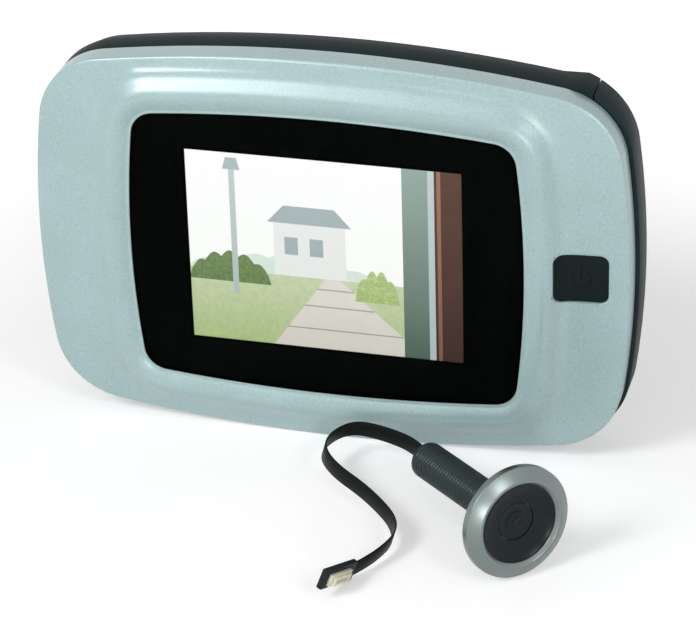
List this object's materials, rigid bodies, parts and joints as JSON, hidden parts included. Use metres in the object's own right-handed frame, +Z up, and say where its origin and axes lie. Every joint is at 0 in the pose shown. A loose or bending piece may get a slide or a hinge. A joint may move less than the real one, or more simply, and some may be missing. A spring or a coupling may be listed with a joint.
{
  "type": "peephole door camera",
  "caption": "Door viewer with an indoor display unit on a wall plate, a power button, a sliding battery cover, and an outdoor camera head with its ribbon and plug.",
  "frame": {"origin": "middle of the wall plate's face that touches the door", "axes": "+Y into the door, away from the viewer; +X to the viewer's right; +Z up"},
  "size_m": [0.1413, 0.0847, 0.0968],
  "materials": {
    "wall_steel": "zinc plated",
    "silver_frame": "silver paint with fine metal flake",
    "rosette_silver": "satin",
    "black_plastic": "fine satin",
    "housing_plastic": "fine texture",
    "button_plastic": "satin",
    "gasket_rubber": "matte",
    "window_glass": "gloss with a black border printed inside",
    "lens_glass": "coated",
    "panel": "lit display",
    "tray": "plain",
    "tape": "black foam",
    "board_green": "solder mask",
    "chip_black": "moulded",
    "socket_cream": "moulded",
    "flex_black": "satin film",
    "flex_amber": "film",
    "screw_steel": "plain",
    "cell_jacket": "printed jacket",
    "contact_steel": "nickel plated",
    "spacer_plastic": "plain"
  },
  "bodies": {
    "door_side": {"wall_plate": "wall_steel", "head_bezel": "rosette_silver", "head_gasket": "gasket_rubber", "lens_dish": "black_plastic", "lens_cell": "black_plastic", "front_lens": "lens_glass", "lens_tube": "black_plastic", "rear_lens": "lens_glass", "image_sensor": "chip_black", "camera_board": "board_green", "threaded_barrel": "black_plastic", "inner_flex": "flex_black", "barrel_grommet": "gasket_rubber", "ribbon_cable": "flex_black", "plug_board": "chip_black", "plug_connector": "socket_cream"},
    "display_unit": {"front_frame": "silver_frame", "display_window": "window_glass", "window_tape": "tape", "foam_ring": "tape", "lcd_panel": "panel", "lcd_backlight": "tray", "lcd_flex": "flex_amber", "main_board": "board_green", "board_chips": "chip_black", "camera_socket": "socket_cream", "board_screws": "screw_steel", "board_spacers": "spacer_plastic", "rear_housing": "housing_plastic", "housing_screws": "screw_steel", "switch_board": "board_green", "button_switch": "chip_black", "battery_cell_1": "cell_jacket", "battery_cell_2": "cell_jacket", "battery_cell_3": "cell_jacket", "battery_contacts": "contact_steel", "battery_springs": "contact_steel"},
    "button": {"power_button": "button_plastic", "switch_plunger": "socket_cream"},
    "cover": {"battery_cover": "housing_plastic"}
  },
  "joints": [
    {"name": "monitor_lift", "type": "slide", "parent": "door_side", "child": "display_unit", "axis": [0, 0, 1], "range_m": [0, 0.008]},
    {"name": "power_button_press", "type": "slide", "parent": "display_unit", "child": "button", "axis": [0, 1, 0], "range_m": [0, 0.00025], "stiffness_N_per_m": 600, "springref_m": -0.0005},
    {"name": "battery_cover_slide", "type": "slide", "parent": "display_unit", "child": "cover", "axis": [1, 0, 0], "range_m": [0, 0.03]}
  ]
}
